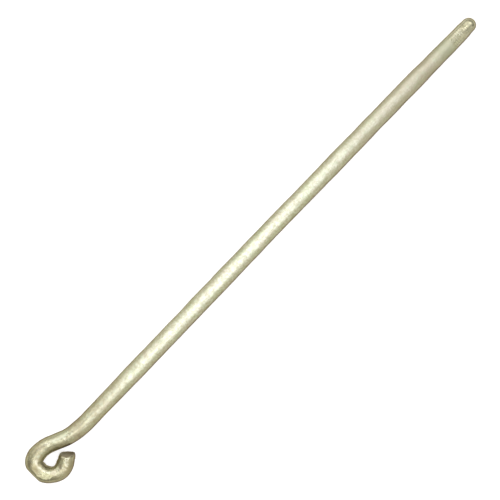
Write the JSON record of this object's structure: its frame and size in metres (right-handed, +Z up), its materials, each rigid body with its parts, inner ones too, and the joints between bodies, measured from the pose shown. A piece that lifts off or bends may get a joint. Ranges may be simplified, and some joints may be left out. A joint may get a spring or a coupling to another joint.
{
  "type": "hive tool rod",
  "caption": "Straight round steel rod with a cold-bent open eye at one end and a turned-down, domed tip at the other, zinc plated in pale gold.",
  "frame": {"origin": "middle of the tool's box, on the surface it lies on", "axes": "+X along the straight shank towards the domed tip, +Z up, so the eye is at -X and its opening looks along Z"},
  "size_m": [0.283, 0.021, 0.008],
  "materials": {
    "plated_steel": "satin pale-gold zinc plating with faint green and pink tints, over turned and cold-bent steel"
  },
  "bodies": {
    "root": {"eye_rod": "plated_steel"}
  },
  "joints": []
}
